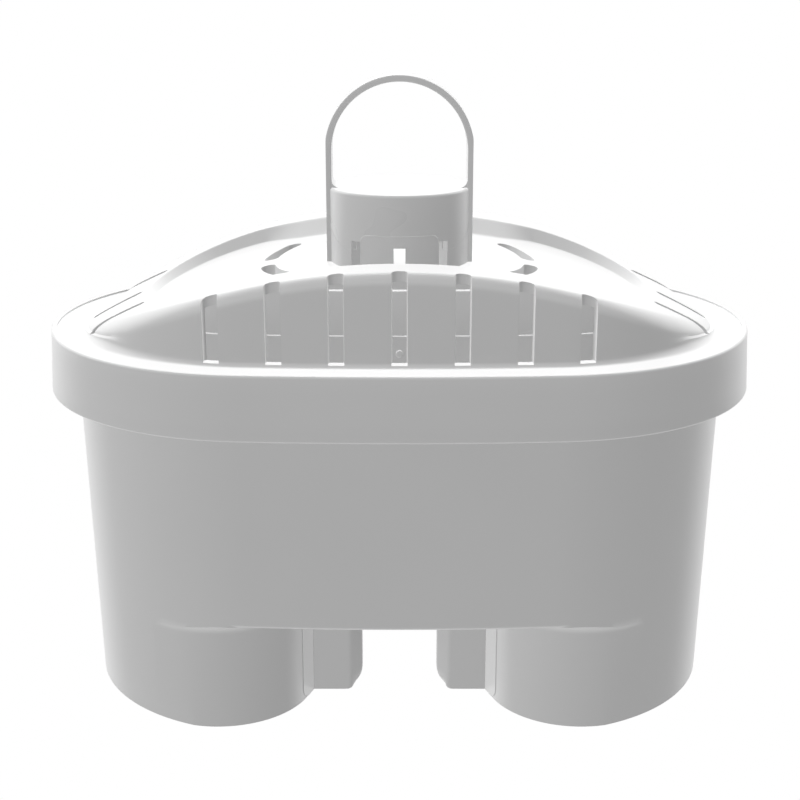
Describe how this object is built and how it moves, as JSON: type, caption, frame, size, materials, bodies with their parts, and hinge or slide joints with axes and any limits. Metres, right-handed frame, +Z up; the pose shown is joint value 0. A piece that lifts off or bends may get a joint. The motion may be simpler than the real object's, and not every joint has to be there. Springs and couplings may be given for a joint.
{
  "type": "water filter cartridge",
  "caption": "Oval drip-through water pitcher filter cartridge with a slotted domed lid, a cap with a pull ring, and two outlet cups below a drafted cup.",
  "frame": {"origin": "middle of the base, on the level the two outlet cups stand on", "axes": "+X along the long side of the oval, +Y to the back, +Z up through the pull ring"},
  "size_m": [0.1108, 0.0712, 0.0963],
  "materials": {
    "cup_plastic": "satin moulded polypropylene",
    "lid_plastic": "satin moulded polypropylene",
    "cap_plastic": "satin moulded polypropylene",
    "ring_plastic": "moulded polypropylene",
    "fleece": "fibre fleece",
    "granules": "granules"
  },
  "bodies": {
    "root": {"housing_cup": "cup_plastic", "lid": "lid_plastic", "pull_cap": "cap_plastic", "strainer_ring": "ring_plastic", "upper_fleece": "fleece", "filter_media": "granules", "outlet_fleece_left": "fleece", "outlet_fleece_right": "fleece"}
  },
  "joints": []
}
